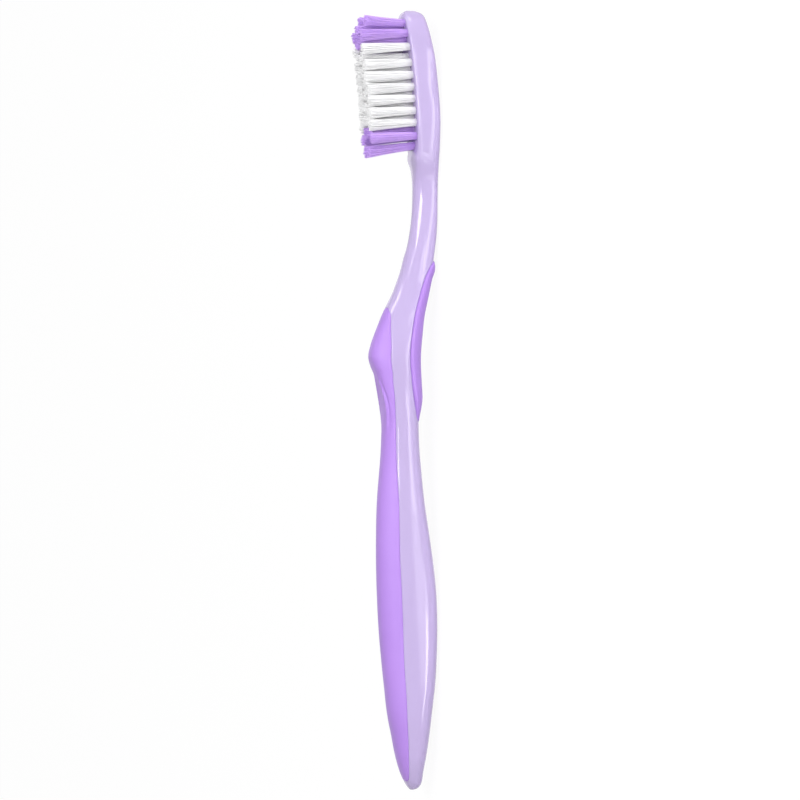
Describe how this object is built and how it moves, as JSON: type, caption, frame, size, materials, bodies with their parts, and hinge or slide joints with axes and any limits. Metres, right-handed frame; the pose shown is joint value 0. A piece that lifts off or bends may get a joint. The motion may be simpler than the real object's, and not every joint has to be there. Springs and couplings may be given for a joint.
{
  "type": "manual toothbrush",
  "caption": "Adult manual toothbrush with a glossy curved handle, a soft front grip, a thumb pad behind it, and white tufts between purple ones.",
  "frame": {"origin": "on the surface that the brush lies on, under the middle of its length and width", "axes": "+X along the brush towards the toe of the head, +Z the way the bristles point, +Y across"},
  "size_m": [0.19, 0.0132, 0.0208],
  "materials": {
    "lilac_plastic": "glossy moulded polypropylene",
    "purple_grip": "satin thermoplastic elastomer",
    "purple_bristle": "nylon filament",
    "white_bristle": "nylon filament",
    "anchor_metal": "sheared strip"
  },
  "bodies": {
    "root": {"handle_body": "lilac_plastic", "front_grip": "purple_grip", "thumb_pad": "purple_grip", "tuft_anchors": "anchor_metal", "outer_left_tuft_1": "purple_bristle", "outer_left_tuft_2": "white_bristle", "outer_left_tuft_3": "white_bristle", "outer_left_tuft_4": "white_bristle", "outer_left_tuft_5": "white_bristle", "outer_left_tuft_6": "white_bristle", "outer_left_tuft_7": "white_bristle", "outer_left_tuft_8": "white_bristle", "outer_left_tuft_9": "purple_bristle", "outer_right_tuft_1": "purple_bristle", "outer_right_tuft_2": "white_bristle", "outer_right_tuft_3": "white_bristle", "outer_right_tuft_4": "white_bristle", "outer_right_tuft_5": "white_bristle", "outer_right_tuft_6": "white_bristle", "outer_right_tuft_7": "white_bristle", "outer_right_tuft_8": "white_bristle", "outer_right_tuft_9": "purple_bristle", "inner_left_tuft_1": "purple_bristle", "inner_left_tuft_2": "purple_bristle", "inner_left_tuft_3": "white_bristle", "inner_left_tuft_4": "white_bristle", "inner_left_tuft_5": "white_bristle", "inner_left_tuft_6": "white_bristle", "inner_left_tuft_7": "white_bristle", "inner_left_tuft_8": "white_bristle", "inner_left_tuft_9": "purple_bristle", "inner_left_tuft_10": "purple_bristle", "inner_right_tuft_1": "purple_bristle", "inner_right_tuft_2": "purple_bristle", "inner_right_tuft_3": "white_bristle", "inner_right_tuft_4": "white_bristle", "inner_right_tuft_5": "white_bristle", "inner_right_tuft_6": "white_bristle", "inner_right_tuft_7": "white_bristle", "inner_right_tuft_8": "white_bristle", "inner_right_tuft_9": "purple_bristle", "inner_right_tuft_10": "purple_bristle", "toe_middle_tuft": "purple_bristle"}
  },
  "joints": []
}
